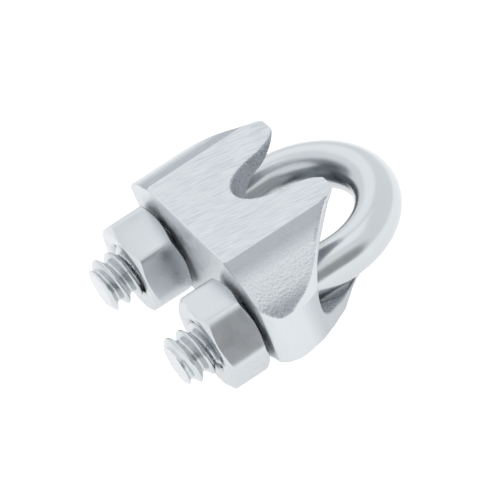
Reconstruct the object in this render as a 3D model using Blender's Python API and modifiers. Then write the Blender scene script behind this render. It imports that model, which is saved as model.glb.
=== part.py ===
"""Wire rope clip, 3/16 in (5 mm) malleable pattern: saddle, U-bolt, two hex nuts.

Metres, +Z up.  The rope runs along Z, the two legs along Y with the bow at +Y,
and X goes across the legs.  The sizes count Y from the saddle's nut seat and X
and Z from the middle between the legs; an empty called wire_rope_clip carries
the four pieces and puts the origin under the middle of the whole clip, in the
plane of the saddle's back end face.
"""
import math

import bmesh
import bpy
from mathutils import Vector

MM = 0.001

# ---------------------------------------------------------------- sizes (mm)
LEG_X = 6.9             # each leg from the middle
ROD_R = 2.1             # plain rod of the U-bolt
CREST_R = 2.415         # rolled thread: crest, root and pitch
ROOT_R = 1.75
PITCH = 1.27
LEG_START = {1: 0.007, -1: 0.676}   # where the thread starts on each leg, turns
TIP_Y = -7.35           # leg tips
THREAD_Y = 4.6          # the thread runs from the tip up to here
BEND_Y = 9.95           # centre of the bow
FRONT_Z = 6.75          # end faces of the saddle
BACK_Z = -4.9
HOLE_R = 2.65           # leg holes in the saddle
SEAT_GAP = 0.3          # clearance between nut and seat
NUT_H = 4.05
NUT_FLATS = 8.35        # across flats
NUT_FACE_R = 3.99       # flat ring left by the chamfer
NUT_BORE_R = 2.5
NUT_LEAD_R = 2.62       # mouth of the bore
CHAMFER = math.tan(math.radians(30))
NUT_TURN = {-1: -12.0, 1: 30.5}      # from a corner on Z, degrees
MIDDLE_Y = 5.8          # middle of the whole clip above the nut seat

# Outlines: (u, v, round?).  A round point is passed smoothly, the others are
# corners.  The first two are halves and get mirrored.
EAR_AND_HORN = [        # X, Y: seat corner, ear, slope, horn, rope notch
    (11.6, 0.0, False), (12.6, 1.3, True), (12.3, 3.7, True), (11.5, 5.5, True),
    (9.7, 7.67, True), (8.35, 9.05, True), (7.1, 10.45, True), (6.3, 11.85, True),
    (5.5, 12.25, True), (4.2, 11.75, True), (3.1, 10.0, True), (2.5, 7.6, True),
    (1.6, 6.0, True), (0.0, 5.3, True),
]
ACROSS_LEGS = [         # X, Z: front face, its sloping side, ear edge, back
    (6.9, 6.75, False), (8.6, 6.1, True), (10.0, 5.35, True), (11.5, 4.2, True),
    (13.0, 2.5, False), (13.0, -2.2, False), (11.3, -2.4, True), (9.5, -3.05, True),
    (7.0, -4.2, True), (4.4, -4.9, False),
]
VALLEY = [              # Z, Y: between the front and the back pair of horns
    (7.4, 12.9, False), (6.2, 11.2, True), (5.4, 9.8, True), (4.75, 7.9, True),
    (3.6, 6.5, True), (2.1, 5.7, True), (0.9, 5.35, True), (-0.4, 5.5, True),
    (-1.2, 6.8, True), (-2.0, 8.3, True), (-2.4, 9.6, False), (-2.4, 12.9, False),
]
BACK_LEAN = [           # Z, Y: the back horns are thinner than the seat below
    (-3.05, 12.9, False), (-3.05, 8.0, False), (-3.35, 7.0, True), (-5.2, 5.4, False),
    (-6.0, 12.9, False),
]
ALONG_ROPE = (0.0, 0.0, 0.0)                        # outline in X, Y
ACROSS = (0.0, -math.pi / 2, 0.0)                   # outline in Z, Y
ALONG_LEGS = (math.pi / 2, 0.0, 0.0)                # outline in X, Z

for old in list(bpy.data.objects):
    bpy.data.objects.remove(old, do_unlink=True)

clip = bpy.data.collections.new("wire_rope_clip")
cutters = bpy.data.collections.new("cutters")
for group in (clip, cutters):
    bpy.context.scene.collection.children.link(group)


def metal(name, colour, rough):
    mat = bpy.data.materials.new(name)
    mat.use_nodes = True
    bsdf = mat.node_tree.nodes["Principled BSDF"]
    bsdf.inputs["Base Color"].default_value = (*colour, 1.0)
    bsdf.inputs["Metallic"].default_value = 1.0
    bsdf.inputs["Roughness"].default_value = rough
    return mat


def add(name, mesh, group, mat=None):
    ob = bpy.data.objects.new(name, mesh)
    group.objects.link(ob)
    if group == cutters:
        ob.hide_render = True
        ob.display_type = "WIRE"
    if mat:
        mesh.materials.clear()
        mesh.materials.append(mat)
    return ob


def both_sides(half):
    return half + [(-u, v, soft) for u, v, soft in reversed(half) if u > 0]


def plate(name, outline, thickness, turned, group):
    """The outline as a filled 2D curve of that thickness, made a mesh."""
    curve = bpy.data.curves.new(name, "CURVE")
    curve.dimensions = "2D"
    curve.fill_mode = "BOTH"
    curve.resolution_u = 4
    curve.extrude = thickness / 2 * MM
    spline = curve.splines.new("BEZIER")
    spline.bezier_points.add(len(outline) - 1)
    spline.use_cyclic_u = True
    for point, (u, v, soft) in zip(spline.bezier_points, outline):
        point.co = (u * MM, v * MM, 0)
        kind = "AUTO" if soft else "VECTOR"
        point.handle_left_type = point.handle_right_type = kind
    drawn = bpy.data.objects.new(name, curve)
    bpy.context.scene.collection.objects.link(drawn)
    graph = bpy.context.evaluated_depsgraph_get()
    mesh = bpy.data.meshes.new_from_object(drawn.evaluated_get(graph))
    bpy.data.objects.remove(drawn)
    bm = bmesh.new()
    bm.from_mesh(mesh)
    bmesh.ops.remove_doubles(bm, verts=bm.verts, dist=0.00001)
    bmesh.ops.recalc_face_normals(bm, faces=bm.faces)
    bm.to_mesh(mesh)
    bm.free()
    ob = add(name, mesh, group)
    ob.rotation_euler = turned
    return ob


def turned(name, profile, steps, group):
    """The profile (radius, height) turned about Z with a Screw modifier."""
    mesh = bpy.data.meshes.new(name)
    bm = bmesh.new()
    line = [bm.verts.new((r * MM, 0, h * MM)) for r, h in profile]
    for first, second in zip(line, line[1:]):
        bm.edges.new((first, second))
    bm.to_mesh(mesh)
    bm.free()
    ob = add(name, mesh, group)
    screw = ob.modifiers.new("turn", "SCREW")
    screw.steps = screw.render_steps = steps
    screw.use_merge_vertices = True
    screw.merge_threshold = 0.00001
    return ob


def boolean(body, tool, kind):
    mod = body.modifiers.new(kind.lower() + "_" + tool.name, "BOOLEAN")
    mod.operation = kind
    mod.object = tool


# ------------------------------------------------------------------- saddle
# The ear and horn outline along the rope, held inside the section across the
# legs, with the valley, the lean of the back and the two leg holes cut away.
saddle = plate("saddle", both_sides(EAR_AND_HORN), FRONT_Z - BACK_Z, ALONG_ROPE, clip)
saddle.location.z = (FRONT_Z + BACK_Z) / 2 * MM
saddle.data.materials.append(metal("zinc_plated_casting", (0.62, 0.64, 0.66), 0.42))
boolean(saddle, plate("section", both_sides(ACROSS_LEGS), 28.0, ALONG_LEGS, cutters),
        "INTERSECT")
boolean(saddle, plate("valley", VALLEY, 28.0, ACROSS, cutters), "DIFFERENCE")
boolean(saddle, plate("back_lean", BACK_LEAN, 28.0, ACROSS, cutters), "DIFFERENCE")
for side in (-1, 1):
    hole = turned("leg_hole" + ("_left" if side < 0 else "_right"),
                  [(0, 15), (HOLE_R, 15), (HOLE_R, -2), (0, -2)], 40, cutters)
    hole.rotation_euler = (-math.pi / 2, 0, 0)
    hole.location.x = side * LEG_X * MM
    boolean(saddle, hole, "DIFFERENCE")


# ------------------------------------------------------------------- U-bolt
ROUND = 24              # points in each ring of the rod
STEPS = 6               # rings in each turn of thread


def thread_radius(phase):
    """Rolled thread form over one pitch, with the crest at phase 0.5."""
    away = abs(phase - 0.5) * 2
    rise = min(max((0.84 - away) / 0.68, 0.0), 1.0)
    return ROOT_R + (CREST_R - ROOT_R) * rise


def leg_radius(y, turn, start):
    """Radius of a threaded leg: pointed at the tip, running out into the rod."""
    radius = thread_radius(((y - TIP_Y) / PITCH - turn + start) % 1.0)
    radius = min(radius, ROOT_R + 0.1 + 1.6 * (y - TIP_Y))
    plain = min(max(1 - (THREAD_Y - y) / (0.8 * PITCH), 0.0), 1.0)
    return radius + (ROD_R - radius) * plain


def ring(bm, centre, outward, radius_at):
    """A ring of the rod about centre, its first point on the outward side."""
    made = []
    for i in range(ROUND):
        a = 2 * math.pi * i / ROUND
        spoke = outward * math.cos(a) + Vector((0, 0, 1)) * math.sin(a)
        made.append(bm.verts.new((centre + spoke * radius_at(spoke)) * MM))
    return made


def leg_rings(bm, side):
    """From the tip up to the bow.  The thread is right-handed about +Y."""
    count = round((THREAD_Y - TIP_Y) / PITCH * STEPS)
    rings = []
    for k in range(count + 1):
        y = TIP_Y + (THREAD_Y - TIP_Y) * k / count
        rings.append(ring(
            bm, Vector((side * LEG_X, y, 0)), Vector((side, 0, 0)),
            lambda spoke: leg_radius(y, math.atan2(spoke.x, spoke.z) / (2 * math.pi),
                                     LEG_START[side])))
    rings.append(ring(bm, Vector((side * LEG_X, THREAD_Y + 1.5, 0)),
                      Vector((side, 0, 0)), lambda spoke: ROD_R))
    return rings


def bow_rings(bm, count):
    rings = []
    for k in range(count + 1):
        t = math.pi * k / count
        outward = Vector((math.cos(t), math.sin(t), 0))
        rings.append(ring(bm, Vector((0, BEND_Y, 0)) + outward * LEG_X, outward,
                          lambda spoke: ROD_R))
    return rings


bm = bmesh.new()
rings = leg_rings(bm, 1) + bow_rings(bm, 26) + leg_rings(bm, -1)[::-1]
for first, second in zip(rings, rings[1:]):
    for i in range(ROUND):
        j = (i + 1) % ROUND
        bm.faces.new((first[i], second[i], second[j], first[j]))
bm.faces.new(rings[0])
bm.faces.new(rings[-1][::-1])
bmesh.ops.recalc_face_normals(bm, faces=bm.faces)
rod = bpy.data.meshes.new("u_bolt")
bm.to_mesh(rod)
bm.free()
rod.shade_smooth()
rod.set_sharp_from_angle(angle=math.radians(50))
u_bolt = add("u_bolt", rod, clip, metal("zinc_plated_rod", (0.70, 0.72, 0.74), 0.2))


# --------------------------------------------------------------------- nuts
def hex_nut(name, side):
    """Hex bar crossed with a turned blank that gives both chamfers, then bored."""
    corner = NUT_FLATS / 2 / math.cos(math.pi / 6)
    mesh = bpy.data.meshes.new(name)
    bm = bmesh.new()
    bmesh.ops.create_cone(bm, cap_ends=True, segments=6, depth=NUT_H * MM,
                          radius1=corner * MM, radius2=corner * MM)
    bmesh.ops.translate(bm, verts=bm.verts, vec=(0, 0, NUT_H / 2 * MM))
    bm.to_mesh(mesh)
    bm.free()
    nut = add(name, mesh, clip, metal(name + "_zinc", (0.66, 0.68, 0.70), 0.3))
    nut.location = Vector((side * LEG_X, -SEAT_GAP - NUT_H, 0)) * MM
    wide = NUT_FACE_R + 1.5
    drop = (wide - NUT_FACE_R) * CHAMFER
    lead = NUT_LEAD_R - NUT_BORE_R
    blank = turned(name + "_blank", [
        (0, NUT_H), (NUT_FACE_R, NUT_H), (wide, NUT_H - drop),
        (wide, drop), (NUT_FACE_R, 0), (0, 0)], 60, cutters)
    bore = turned(name + "_bore", [
        (0, NUT_H + 1), (NUT_LEAD_R + lead, NUT_H + 1), (NUT_LEAD_R, NUT_H),
        (NUT_BORE_R, NUT_H - lead), (NUT_BORE_R, lead), (NUT_LEAD_R, 0),
        (NUT_LEAD_R + lead, -1), (0, -1)], 60, cutters)
    for tool in (blank, bore):
        tool.parent = nut
    nut.rotation_euler = (-math.pi / 2, math.radians(NUT_TURN[side]), 0)
    boolean(nut, blank, "INTERSECT")
    boolean(nut, bore, "DIFFERENCE")
    return nut


nut_left = hex_nut("nut_left", -1)
nut_right = hex_nut("nut_right", 1)

base = bpy.data.objects.new("wire_rope_clip", None)
clip.objects.link(base)
base.location = Vector((0, -MIDDLE_Y, -BACK_Z)) * MM
for ob in list(clip.objects) + list(cutters.objects):
    if ob != base and ob.parent is None:
        ob.parent = base
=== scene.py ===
# A zinc-plated wire rope clip, built from its four pieces: saddle, U-bolt and two nuts.
# Lengths below are millimetres in the clip's own measure (X from the middle, Y from the
# nut seat, Z from the back end face), and at() turns them into metres in the frame.
import math

import bmesh
import bpy
import numpy as np
from mathutils import Matrix, Vector


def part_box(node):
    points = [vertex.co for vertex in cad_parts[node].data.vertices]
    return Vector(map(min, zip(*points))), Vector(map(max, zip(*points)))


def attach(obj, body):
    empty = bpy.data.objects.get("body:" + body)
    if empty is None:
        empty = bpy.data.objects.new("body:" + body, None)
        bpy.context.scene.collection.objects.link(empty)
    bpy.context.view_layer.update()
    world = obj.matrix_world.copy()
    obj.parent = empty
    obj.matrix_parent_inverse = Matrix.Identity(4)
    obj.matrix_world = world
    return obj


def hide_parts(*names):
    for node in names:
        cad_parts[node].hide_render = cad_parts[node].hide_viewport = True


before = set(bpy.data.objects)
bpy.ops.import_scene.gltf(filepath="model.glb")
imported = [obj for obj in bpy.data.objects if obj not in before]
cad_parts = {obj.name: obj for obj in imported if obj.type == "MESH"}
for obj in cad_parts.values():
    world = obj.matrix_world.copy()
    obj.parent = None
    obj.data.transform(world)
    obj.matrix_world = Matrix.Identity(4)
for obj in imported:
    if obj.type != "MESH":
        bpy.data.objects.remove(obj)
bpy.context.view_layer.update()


# ---------------------------------------------------------------------------
# SADDLE. One malleable-iron casting: a seat for the nuts, two ears bored for
# the legs, and a rope notch between four horns.  Cast skin on the sides, both
# end faces ground flat, then zinc plated all over.
# ---------------------------------------------------------------------------
MM = 0.001
SEAT_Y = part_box("saddle")[0].y / MM        # nut seat, where Y is counted from
FACE_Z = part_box("saddle")[1].z / MM        # front end face
LEG_Z = 4.9                                # plane of the two legs
LEG_X = 6.9                                # each leg from the middle
LEG_HOLE_R = 2.65

# Outlines: (u, v, round?).  A round point is passed smoothly, the rest are corners.
EAR_AND_HORN = [                           # X, Y: seat corner, ear, slope, horn, notch
    (11.6, 0.0, False), (12.6, 1.3, True), (12.3, 3.7, True), (11.5, 5.5, True),
    (9.7, 7.67, True), (8.35, 9.05, True), (7.1, 10.45, True), (6.3, 11.85, True),
    (5.5, 12.25, True), (4.2, 11.75, True), (3.1, 10.0, True), (2.5, 7.6, True),
    (1.6, 6.0, True), (0.0, 5.3, True),
]
ACROSS_LEGS = [                            # X, Z: front face, sloping side, ear edge, back
    (6.9, 6.75, False), (8.6, 6.1, True), (10.0, 5.35, True), (11.5, 4.2, True),
    (13.0, 2.5, False), (13.0, -2.2, False), (11.3, -2.4, True), (9.5, -3.05, True),
    (7.0, -4.2, True), (4.4, -4.9, False),
]
VALLEY = [                                 # Z, Y: between the front and back horns
    (7.4, 12.9, False), (6.2, 11.2, True), (5.4, 9.8, True), (4.75, 7.9, True),
    (3.6, 6.5, True), (2.1, 5.7, True), (0.9, 5.35, True), (-0.4, 5.5, True),
    (-1.2, 6.8, True), (-2.0, 8.3, True), (-2.4, 9.6, False), (-2.4, 12.9, False),
]
BACK_LEAN = [                              # Z, Y: the back horns are thinner
    (-3.05, 12.9, False), (-3.05, 8.0, False), (-3.35, 7.0, True), (-5.2, 5.4, False),
    (-6.0, 12.9, False),
]
SADDLE_GRID = 0.12                         # fineness of the cast surface
EASE_PASSES = 16                           # how often the cast edges are eased
FAR = 14.0                                 # past the casting on both sides


def at(x, y, z):
    """A point in the clip's own measure, as metres in the frame."""
    return Vector((x, y + SEAT_Y, z)) * MM


def piece(name, bm):
    mesh = bpy.data.meshes.new(name)
    bmesh.ops.recalc_face_normals(bm, faces=bm.faces)
    bm.to_mesh(mesh)
    bm.free()
    ob = bpy.data.objects.new(name, mesh)
    bpy.context.scene.collection.objects.link(ob)
    return ob


def both_sides(half):
    return half + [(-u, v, soft) for u, v, soft in reversed(half) if u > 0]


def slab(name, outline, place, low, high):
    """The outline pushed from low to high; place() turns it in space."""
    curve = bpy.data.curves.new(name, "CURVE")
    curve.dimensions = "2D"
    curve.resolution_u = 12
    spline = curve.splines.new("BEZIER")
    spline.bezier_points.add(len(outline) - 1)
    spline.use_cyclic_u = True
    for point, (u, v, soft) in zip(spline.bezier_points, outline):
        point.co = (u, v, 0)
        point.handle_left_type = point.handle_right_type = "AUTO" if soft else "VECTOR"
    drawn = bpy.data.objects.new(name, curve)
    bpy.context.scene.collection.objects.link(drawn)
    graph = bpy.context.evaluated_depsgraph_get()
    line = bpy.data.meshes.new_from_object(drawn.evaluated_get(graph))
    dots = [(v.co.x, v.co.y) for v in line.vertices]
    bpy.data.objects.remove(drawn)
    bpy.data.meshes.remove(line)
    bm = bmesh.new()
    ends = [[bm.verts.new(place(u, v, w)) for u, v in dots] for w in (low, high)]
    bm.faces.new(ends[0])
    bm.faces.new(list(reversed(ends[1])))
    for i in range(len(dots)):
        j = (i + 1) % len(dots)
        bm.faces.new((ends[0][i], ends[1][i], ends[1][j], ends[0][j]))
    return piece(name, bm)


def round_bar(name, radius, length, centre, sides):
    bm = bmesh.new()
    bmesh.ops.create_cone(bm, cap_ends=True, segments=sides, depth=length * MM,
                          radius1=radius * MM, radius2=radius * MM)
    bmesh.ops.rotate(bm, verts=bm.verts, matrix=Matrix.Rotation(math.pi / 2, 3, "X"))
    bmesh.ops.translate(bm, verts=bm.verts, vec=centre)
    return piece(name, bm)


def cut(body, tool, kind):
    mod = body.modifiers.new(kind.lower(), "BOOLEAN")
    mod.operation = kind
    mod.solver = "EXACT"
    mod.object = tool


def settle(ob):
    """Replace the object's mesh by what its modifiers make of it."""
    graph = bpy.context.evaluated_depsgraph_get()
    mesh = bpy.data.meshes.new_from_object(ob.evaluated_get(graph))
    ob.modifiers.clear()
    old = ob.data
    ob.data = mesh
    bpy.data.meshes.remove(old)


def cast_saddle():
    body = slab("saddle_casting", both_sides(EAR_AND_HORN),
                lambda u, v, w: at(u, v, w), 0.0, FACE_Z)
    tools = [
        (slab("across", both_sides(ACROSS_LEGS),
              lambda u, v, w: at(u, w, v + LEG_Z), -1.0, 13.5), "INTERSECT"),
        (slab("valley", VALLEY, lambda u, v, w: at(w, v, u + LEG_Z), -FAR, FAR),
         "DIFFERENCE"),
        (slab("back_lean", BACK_LEAN, lambda u, v, w: at(w, v, u + LEG_Z), -FAR, FAR),
         "DIFFERENCE"),
    ]
    for side in (-1, 1):
        tools.append((round_bar("bore", LEG_HOLE_R, 20.0,
                                at(side * LEG_X, 8.0, LEG_Z), 64), "DIFFERENCE"))
    for tool, kind in tools:
        cut(body, tool, kind)
    settle(body)
    for tool, kind in tools:
        bpy.data.objects.remove(tool)
    remesh = body.modifiers.new("grid", "REMESH")
    remesh.mode = "VOXEL"
    remesh.voxel_size = SADDLE_GRID * MM
    soft = body.modifiers.new("soft", "SMOOTH")
    soft.factor = 0.5
    soft.iterations = EASE_PASSES
    settle(body)
    body.data.shade_smooth()
    return body


def between(value, low, high):
    """0 at low and 1 at high, held at both ends."""
    return np.clip((value - low) / (high - low), 0.0, 1.0)


def mark_skin(body):
    """Store where the skin is rough, where it is ground, and how much shade is painted into the
    colour.
    """
    mesh = body.data
    count = len(mesh.vertices)
    co = np.empty(count * 3)
    mesh.vertices.foreach_get("co", co)
    co = co.reshape(-1, 3) / MM
    no = np.array([v.normal for v in mesh.vertices])
    ground = np.abs(no[:, 2]) > 0.965
    flank = (np.abs(co[:, 0]) > 7.2) & (np.abs(no[:, 2]) < 0.42) & (no[:, 0] * co[:, 0] > 0)
    seat = no[:, 1] < -0.9
    flatness = between(np.abs(no[:, 2]), 0.93, 0.99)
    skin = 1.0 - flatness
    skin[flank] = 0.15
    skin[seat] = 0.3
    mask = mesh.attributes.new("cast_skin", "FLOAT", "POINT")
    mask.data.foreach_set("value", skin.astype(np.float32))
    # painted shade: darker colour in the rope notch and the valley, in bands along the sloping
    # sides, and towards the top of the ear flanks
    inside = (np.abs(co[:, 0]) < 4.3) & (co[:, 1] - SEAT_Y > 4.6) & ~ground
    open_valley = (co[:, 2] - LEG_Z < 6.0) & (co[:, 2] - LEG_Z > -2.9) & (no[:, 1] > 0.1)
    shade_amount = (inside | (open_valley & (np.abs(no[:, 0]) < 0.6))).astype(np.float32)
    above = co[:, 2] - LEG_Z
    slope = (no[:, 2] > 0.3) & ~ground & (np.abs(co[:, 0]) > 6.8) & (above > 2.2)
    near_edge = np.maximum(between(above, 5.6, 6.3), between(above, 4.4, 3.5))
    shade_amount = np.maximum(shade_amount, np.where(slope, 0.75 * near_edge, 0.0))
    ear_top = flank & (above < 2.4)
    rise = between(co[:, 1] - SEAT_Y, 3.2, 4.8)
    shade_amount = np.maximum(shade_amount, np.where(ear_top, 0.45 * rise, 0.0)).astype(np.float32)
    painted_shade = mesh.attributes.new("painted_shade", "FLOAT", "POINT")
    painted_shade.data.foreach_set("value", shade_amount)
    face = mesh.attributes.new("ground_face", "FLOAT", "POINT")
    face.data.foreach_set("value", flatness.astype(np.float32))


def new_group(name, inputs, outputs):
    group = bpy.data.node_groups.new(name, "ShaderNodeTree")
    for label, kind, value in inputs:
        socket = group.interface.new_socket(label, in_out="INPUT", socket_type=kind)
        if value is not None:
            socket.default_value = value
    for label, kind in outputs:
        group.interface.new_socket(label, in_out="OUTPUT", socket_type=kind)
    return group, group.nodes.new("NodeGroupInput"), group.nodes.new("NodeGroupOutput")


def plating_cloud():
    """Zinc plate: soft clouding of colour and gloss, with fine specks."""
    group, given, out = new_group(
        "plating_cloud",
        [("Scale", "NodeSocketFloat", 900.0), ("Colour A", "NodeSocketColor", None),
         ("Colour B", "NodeSocketColor", None), ("Gloss Low", "NodeSocketFloat", 0.2),
         ("Gloss High", "NodeSocketFloat", 0.4)],
        [("Colour", "NodeSocketColor"), ("Roughness", "NodeSocketFloat")])
    node, link = group.nodes.new, group.links.new
    place = node("ShaderNodeTexCoord")
    cloud = node("ShaderNodeTexNoise")
    cloud.inputs["Detail"].default_value = 5.0
    link(place.outputs["Object"], cloud.inputs["Vector"])
    link(given.outputs["Scale"], cloud.inputs["Scale"])
    mix = node("ShaderNodeMix")
    mix.data_type = "RGBA"
    link(cloud.outputs["Fac"], mix.inputs["Factor"])
    link(given.outputs["Colour A"], mix.inputs["A"])
    link(given.outputs["Colour B"], mix.inputs["B"])
    gloss = node("ShaderNodeMapRange")
    gloss.inputs["From Min"].default_value = 0.3
    gloss.inputs["From Max"].default_value = 0.7
    link(cloud.outputs["Fac"], gloss.inputs["Value"])
    link(given.outputs["Gloss Low"], gloss.inputs["To Min"])
    link(given.outputs["Gloss High"], gloss.inputs["To Max"])
    link(mix.outputs["Result"], out.inputs["Colour"])
    link(gloss.outputs["Result"], out.inputs["Roughness"])
    return group


PLATING_CLOUD = plating_cloud()


def plated(name, scale, colour_a, colour_b, gloss):
    """Principled metal whose colour and gloss come from the plating cloud."""
    mat = bpy.data.materials.new(name)
    mat.use_nodes = True
    tree = mat.node_tree
    shader = tree.nodes["Principled BSDF"]
    shader.inputs["Metallic"].default_value = 1.0
    cloud = tree.nodes.new("ShaderNodeGroup")
    cloud.node_tree = PLATING_CLOUD
    cloud.inputs["Scale"].default_value = scale
    cloud.inputs["Colour A"].default_value = (*colour_a, 1.0)
    cloud.inputs["Colour B"].default_value = (*colour_b, 1.0)
    cloud.inputs["Gloss Low"].default_value = gloss[0]
    cloud.inputs["Gloss High"].default_value = gloss[1]
    tree.links.new(cloud.outputs["Colour"], shader.inputs["Base Color"])
    tree.links.new(cloud.outputs["Roughness"], shader.inputs["Roughness"])
    return mat


def cast_zinc():
    """The plated casting: grain where the skin is rough, streaks where it is ground."""
    mat = plated("cast_zinc", 700.0, (0.63, 0.66, 0.68), (0.72, 0.745, 0.765), (0.34, 0.5))
    tree = mat.node_tree
    shader = tree.nodes["Principled BSDF"]
    node, link = tree.nodes.new, tree.links.new
    place = node("ShaderNodeTexCoord")
    # sand-cast grain
    grain = node("ShaderNodeTexNoise")
    grain.inputs["Scale"].default_value = 3200.0
    grain.inputs["Detail"].default_value = 4.0
    grain.inputs["Roughness"].default_value = 0.6
    link(place.outputs["Object"], grain.inputs["Vector"])
    pits = node("ShaderNodeTexVoronoi")
    pits.inputs["Scale"].default_value = 3900.0
    link(place.outputs["Object"], pits.inputs["Vector"])
    rough = node("ShaderNodeMath")
    rough.operation = "ADD"
    link(grain.outputs["Fac"], rough.inputs[0])
    link(pits.outputs["Distance"], rough.inputs[1])
    skin = node("ShaderNodeAttribute")
    skin.attribute_name = "cast_skin"
    grain_height = node("ShaderNodeMath")
    grain_height.operation = "MULTIPLY"
    link(rough.outputs["Value"], grain_height.inputs[0])
    link(skin.outputs["Fac"], grain_height.inputs[1])
    # grinding streaks, slanted a little from the legs
    slant = node("ShaderNodeVectorRotate")
    slant.rotation_type = "Z_AXIS"
    slant.inputs["Angle"].default_value = math.radians(14.7)
    link(place.outputs["Object"], slant.inputs["Vector"])
    stretch = node("ShaderNodeMapping")
    stretch.inputs["Scale"].default_value = (7500.0, 650.0, 650.0)
    link(slant.outputs["Vector"], stretch.inputs["Vector"])
    streak = node("ShaderNodeTexNoise")
    streak.inputs["Scale"].default_value = 1.0
    streak.inputs["Detail"].default_value = 3.0
    link(stretch.outputs["Vector"], streak.inputs["Vector"])
    face = node("ShaderNodeAttribute")
    face.attribute_name = "ground_face"
    streak_height = node("ShaderNodeMath")
    streak_height.operation = "MULTIPLY"
    link(streak.outputs["Fac"], streak_height.inputs[0])
    link(face.outputs["Fac"], streak_height.inputs[1])
    grain_bump = node("ShaderNodeBump")
    grain_bump.inputs["Strength"].default_value = 0.6
    grain_bump.inputs["Distance"].default_value = 0.00012
    link(grain_height.outputs["Value"], grain_bump.inputs["Height"])
    # painted shade: the base colour is multiplied darker wherever the shade mask from mark_skin is
    # high
    shade_lookup = node("ShaderNodeAttribute")
    shade_lookup.attribute_name = "painted_shade"
    shade_darken = node("ShaderNodeMix")
    shade_darken.data_type = "RGBA"
    shade_darken.blend_type = "MULTIPLY"
    shade_darken.inputs["B"].default_value = (0.52, 0.54, 0.57, 1.0)
    link(shade_lookup.outputs["Fac"], shade_darken.inputs["Factor"])
    link(shader.inputs["Base Color"].links[0].from_socket, shade_darken.inputs["A"])
    link(shade_darken.outputs["Result"], shader.inputs["Base Color"])
    groove = node("ShaderNodeMapRange")
    groove.inputs["From Min"].default_value = 0.42
    groove.inputs["From Max"].default_value = 0.72
    link(streak_height.outputs["Value"], groove.inputs["Value"])
    toned = node("ShaderNodeMix")
    toned.data_type = "RGBA"
    toned.blend_type = "MULTIPLY"
    toned.inputs["B"].default_value = (0.80, 0.81, 0.825, 1.0)
    link(groove.outputs["Result"], toned.inputs["Factor"])
    link(shade_darken.outputs["Result"], toned.inputs["A"])
    link(toned.outputs["Result"], shader.inputs["Base Color"])
    streak_bump = node("ShaderNodeBump")
    streak_bump.inputs["Strength"].default_value = 0.5
    streak_bump.inputs["Distance"].default_value = 0.00006
    link(streak_height.outputs["Value"], streak_bump.inputs["Height"])
    link(grain_bump.outputs["Normal"], streak_bump.inputs["Normal"])
    link(streak_bump.outputs["Normal"], shader.inputs["Normal"])
    return mat


saddle = cast_saddle()
mark_skin(saddle)
saddle.data.materials.clear()
saddle.data.materials.append(cast_zinc())
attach(saddle, "saddle")
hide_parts("saddle")


# ---------------------------------------------------------------------------
# U-BOLT. Drawn steel rod with a coarse rolled thread on both legs, bent to a
# half circle and bright zinc plated.  The thread stands proud of the rod
# because rolling pushes metal up.
# ---------------------------------------------------------------------------
ROD_R = 2.1
CREST_R = 2.415
ROOT_R = 1.75
THREAD_PITCH = 1.27
THREAD_START = (0.676, 0.007)              # turns, left leg and right leg
THREAD_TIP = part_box("u_bolt")[0].y / MM - SEAT_Y
THREAD_TOP = 4.6
BEND_Y = 9.95                              # centre of the bow
ROUND = 72                                 # points in each ring
RINGS_A_TURN = 20                          # along the thread


def thread_height(phase):
    """0 at the root and 1 at the crest of a rolled thread, phase 0..1."""
    away = abs(phase - 0.5) * 2.0
    rise = min(max((0.86 - away) / 0.74, 0.0), 1.0)
    return rise * rise * (3.0 - 2.0 * rise) * 0.35 + rise * 0.65


def leg_radius(y, turn, start):
    """Radius of a threaded leg: tapered at the tip, running out into the rod."""
    phase = ((y - THREAD_TIP) / THREAD_PITCH - turn + start) % 1.0
    radius = ROOT_R + (CREST_R - ROOT_R) * thread_height(phase)
    from_tip = y - THREAD_TIP
    radius = min(radius, 1.85 + 1.6 * from_tip)
    fade = (THREAD_TOP - y) / (0.8 * THREAD_PITCH)
    if fade < 1.0:
        radius = ROD_R + (radius - ROD_R) * max(fade, 0.0)
    return radius


def bend_rod():
    """Rings of the rod from the right leg's tip, round the bow, to the left tip."""
    bm = bmesh.new()
    rings = []

    def ring(centre, outward, radius_at):
        points = []
        for i in range(ROUND):
            a = 2.0 * math.pi * i / ROUND
            r = radius_at(a) * MM
            points.append(centre + outward * (r * math.cos(a))
                          + Vector((0, 0, 1)) * (r * math.sin(a)))
        return [bm.verts.new(p) for p in points]

    steps = int((THREAD_TOP - THREAD_TIP) / THREAD_PITCH * RINGS_A_TURN)
    heights = [THREAD_TIP + (THREAD_TOP - THREAD_TIP) * k / steps for k in range(steps + 1)]

    def threaded(side, order):
        outward = Vector((side, 0, 0))
        start = THREAD_START[0 if side < 0 else 1]
        for y in order:
            rings.append(ring(
                at(side * LEG_X, y, LEG_Z), outward,
                lambda a: leg_radius(
                    y, math.atan2(side * math.cos(a), math.sin(a)) / (2 * math.pi), start)))

    threaded(1, heights)
    plain = [THREAD_TOP + 0.9 * k for k in range(1, 6)]
    for y in plain:
        rings.append(ring(at(LEG_X, y, LEG_Z), Vector((1, 0, 0)), lambda a: ROD_R))
    bends = 96
    for k in range(bends + 1):
        t = math.pi * k / bends
        outward = Vector((math.cos(t), math.sin(t), 0))
        rings.append(ring(at(0, BEND_Y, LEG_Z) + outward * (LEG_X * MM), outward,
                          lambda a: ROD_R))
    for y in reversed(plain):
        rings.append(ring(at(-LEG_X, y, LEG_Z), Vector((-1, 0, 0)), lambda a: ROD_R))
    threaded(-1, list(reversed(heights)))
    for first, second in zip(rings, rings[1:]):
        for i in range(ROUND):
            j = (i + 1) % ROUND
            bm.faces.new((first[i], second[i], second[j], first[j]))
    # flat sheared ends, filled with two smaller rings
    for end in (rings[0], rings[-1]):
        last = end
        middle = sum((v.co for v in end), Vector()) / ROUND
        for share in (0.8, 0.4):
            new = [bm.verts.new(middle + (v.co - middle) * share) for v in end]
            for i in range(ROUND):
                j = (i + 1) % ROUND
                bm.faces.new((last[i], last[j], new[j], new[i]))
            last = new
        bm.faces.new(last)
    return piece("u_bolt_rod", bm)


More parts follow.
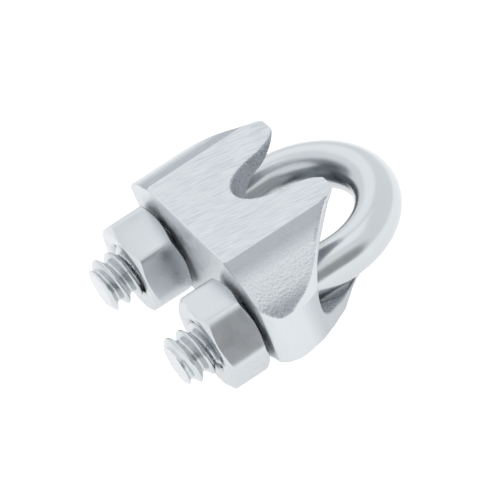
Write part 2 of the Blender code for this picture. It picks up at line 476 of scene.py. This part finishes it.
u_bolt = bend_rod()
u_bolt.data.shade_smooth()
u_bolt.data.set_sharp_from_angle(angle=math.radians(40))
u_bolt.data.materials.append(
    plated("rod_zinc", 350.0, (0.58, 0.61, 0.625), (0.66, 0.685, 0.70), (0.17, 0.27)))
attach(u_bolt, "u_bolt")
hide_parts("u_bolt")


# ---------------------------------------------------------------------------
# NUTS. Two cold-formed hex nuts, both faces chamfered, corners a little
# rounded, plated.  They stand just off the saddle's seat, free to turn.
# ---------------------------------------------------------------------------
NUT_FLATS = 8.35
NUT_HIGH = 4.05
SEAT_GAP = 0.3                             # between nut and seat
NUT_TURN = {"nut_left": -42.0, "nut_right": 0.5}
NUT_BORE_R = 2.5
CHAMFER_R = 3.98                           # where the flat face ends


def nut_outline(angle):
    """Hexagon radius with its corners rounded."""
    step = math.pi / 3
    b = (angle % step) - step / 2
    flat = NUT_FLATS / 2 / math.cos(b)
    corner = NUT_FLATS / 2 / math.cos(step / 2) - 0.14
    soft = 0.10
    blend = math.exp(-flat / soft) + math.exp(-corner / soft)
    return -soft * math.log(blend)


def form_nut(name, side):
    """One nut as columns of rings: bore, face, chamfer and flats, top and bottom."""
    around = 180
    slope = math.tan(math.radians(30))
    bm = bmesh.new()
    low, high = [], []
    for k in range(around):
        a = 2 * math.pi * k / around
        r = nut_outline(a)
        drop = (r - CHAMFER_R) * slope
        ease = 0.12
        profile = [
            (NUT_BORE_R, 0.35), (NUT_BORE_R + 0.12, 0.16), (NUT_BORE_R + 0.3, 0.02),
            (NUT_BORE_R + 0.42, 0.0), (CHAMFER_R - 0.2, 0.0), (CHAMFER_R - 0.05, 0.012),
            (CHAMFER_R + 0.08, 0.055), (max(CHAMFER_R + 0.1, r - ease), drop - ease * slope * 0.6),
            (r - 0.02, drop + 0.02), (r, drop + 0.14)]
        low.append(profile)
        high.append([(rr, NUT_HIGH - yy) for rr, yy in profile])
    order = [[low[k][i] for k in range(around)] for i in range(10)]
    order += [[high[k][i] for k in range(around)] for i in reversed(range(10))]
    rows = []
    turn = Matrix.Rotation(math.radians(NUT_TURN[name]), 3, "Y")
    base = Vector((side * LEG_X, -SEAT_GAP - NUT_HIGH, LEG_Z))
    for row in order:
        made = []
        for k, (r, y) in enumerate(row):
            a = 2 * math.pi * k / around
            spot = turn @ Vector((r * math.cos(a), y, r * math.sin(a))) + base
            made.append(bm.verts.new(at(*spot)))
        rows.append(made)
    rows.append(rows[0])
    for first, second in zip(rows, rows[1:]):
        for i in range(around):
            j = (i + 1) % around
            bm.faces.new((first[i], second[i], second[j], first[j]))
    return piece(name + "_hex", bm)


for nut_name, nut_side, nut_slot in (("nut_left", -1, "left_nut"), ("nut_right", 1, "right_nut")):
    nut = form_nut(nut_name, nut_side)
    nut.data.shade_smooth()
    nut.data.set_sharp_from_angle(angle=math.radians(32))
    nut.data.materials.append(plated(
        nut_name + "_zinc", 500.0, (0.58, 0.605, 0.625), (0.65, 0.675, 0.695), (0.22, 0.34)))
    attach(nut, nut_name)
    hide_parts(nut_name)


# ---------------------------------------------------------------------------
# STAND. A back-lit acrylic sheet in a pale tent, with two weak soft boxes:
# even light for bright plate, darker on the side that the right nut faces.
# ---------------------------------------------------------------------------
def stand():
    bm = bmesh.new()
    bmesh.ops.create_grid(bm, x_segments=1, y_segments=1, size=2.0)
    ground = piece("pale_floor", bm)
    ground.location.z = -0.0001
    mat = bpy.data.materials.new("lit_acrylic")
    mat.use_nodes = True
    tree = mat.node_tree
    shader = tree.nodes["Principled BSDF"]
    shader.inputs["Base Color"].default_value = (0.5, 0.5, 0.5, 1.0)
    shader.inputs["Roughness"].default_value = 0.9
    shader.inputs["Specular IOR Level"].default_value = 0.0
    shader.inputs["Emission Color"].default_value = (1.0, 1.0, 1.0, 1.0)
    ray = tree.nodes.new("ShaderNodeLightPath")
    glow = tree.nodes.new("ShaderNodeMapRange")
    glow.inputs["To Min"].default_value = 0.72
    glow.inputs["To Max"].default_value = 0.85
    tree.links.new(ray.outputs["Is Camera Ray"], glow.inputs["Value"])
    tree.links.new(glow.outputs["Result"], shader.inputs["Emission Strength"])
    ground.data.materials.append(mat)
    return ground


stand()


def soft_box(name, place, aim, size, watts):
    lamp = bpy.data.lights.new(name, "AREA")
    lamp.shape = "RECTANGLE"
    lamp.size, lamp.size_y = size
    lamp.energy = watts
    ob = bpy.data.objects.new(name, lamp)
    bpy.context.scene.collection.objects.link(ob)
    ob.location = place
    ob.rotation_euler = (Vector(aim) - Vector(place)).to_track_quat("-Z", "Y").to_euler()


soft_box("key", (-0.26, 0.06, 0.24), (0, 0, 0), (0.22, 0.22), 0.03)
soft_box("overhead", (0.0, 0.1, 0.35), (0, 0, 0), (0.2, 0.2), 0.03)


def light_tent():
    """A pale tent all round, with one darker patch low on the +X side."""
    world = bpy.data.worlds.new("tent")
    bpy.context.scene.world = world
    world.use_nodes = True
    tree = world.node_tree
    node, link = tree.nodes.new, tree.links.new
    place = node("ShaderNodeTexCoord")
    dark = node("ShaderNodeVectorMath")
    dark.operation = "DOT_PRODUCT"
    dark.inputs[1].default_value = Vector((0.93, 0.16, 0.32)).normalized()
    link(place.outputs["Generated"], dark.inputs[0])
    fall = node("ShaderNodeMapRange")
    fall.interpolation_type = "SMOOTHSTEP"
    fall.inputs["From Min"].default_value = 0.86
    fall.inputs["From Max"].default_value = 0.95
    fall.inputs["To Min"].default_value = 0.98
    fall.inputs["To Max"].default_value = 0.40
    link(dark.outputs["Value"], fall.inputs["Value"])
    back = tree.nodes["Background"]
    back.inputs["Color"].default_value = (0.97, 0.985, 1.0, 1.0)
    link(fall.outputs["Result"], back.inputs["Strength"])


light_tent()
bpy.context.scene.view_settings.view_transform = "Standard"


# ---------------------------------------------------------------------------
# CAMERA. A long lens from the +X side, a little towards the nuts and well above
# the front end face, with the camera rolled.
# ---------------------------------------------------------------------------
def camera():
    lens = bpy.data.cameras.new("long_lens")
    lens.lens = 630.0
    lens.sensor_width = 36.0
    lens.clip_start = 0.01
    ob = bpy.data.objects.new("camera", lens)
    bpy.context.scene.collection.objects.link(ob)
    eye = Vector((0.55949, -0.15338, 0.49321))
    aim = Vector((0.00028, -0.00129, 0.0055))
    roll = math.radians(-23.16863)
    turn = (aim - eye).to_track_quat("-Z", "Y").to_matrix() @ Matrix.Rotation(roll, 3, "Z")
    ob.matrix_world = Matrix.Translation(eye) @ turn.to_4x4()
    bpy.context.scene.camera = ob


camera()
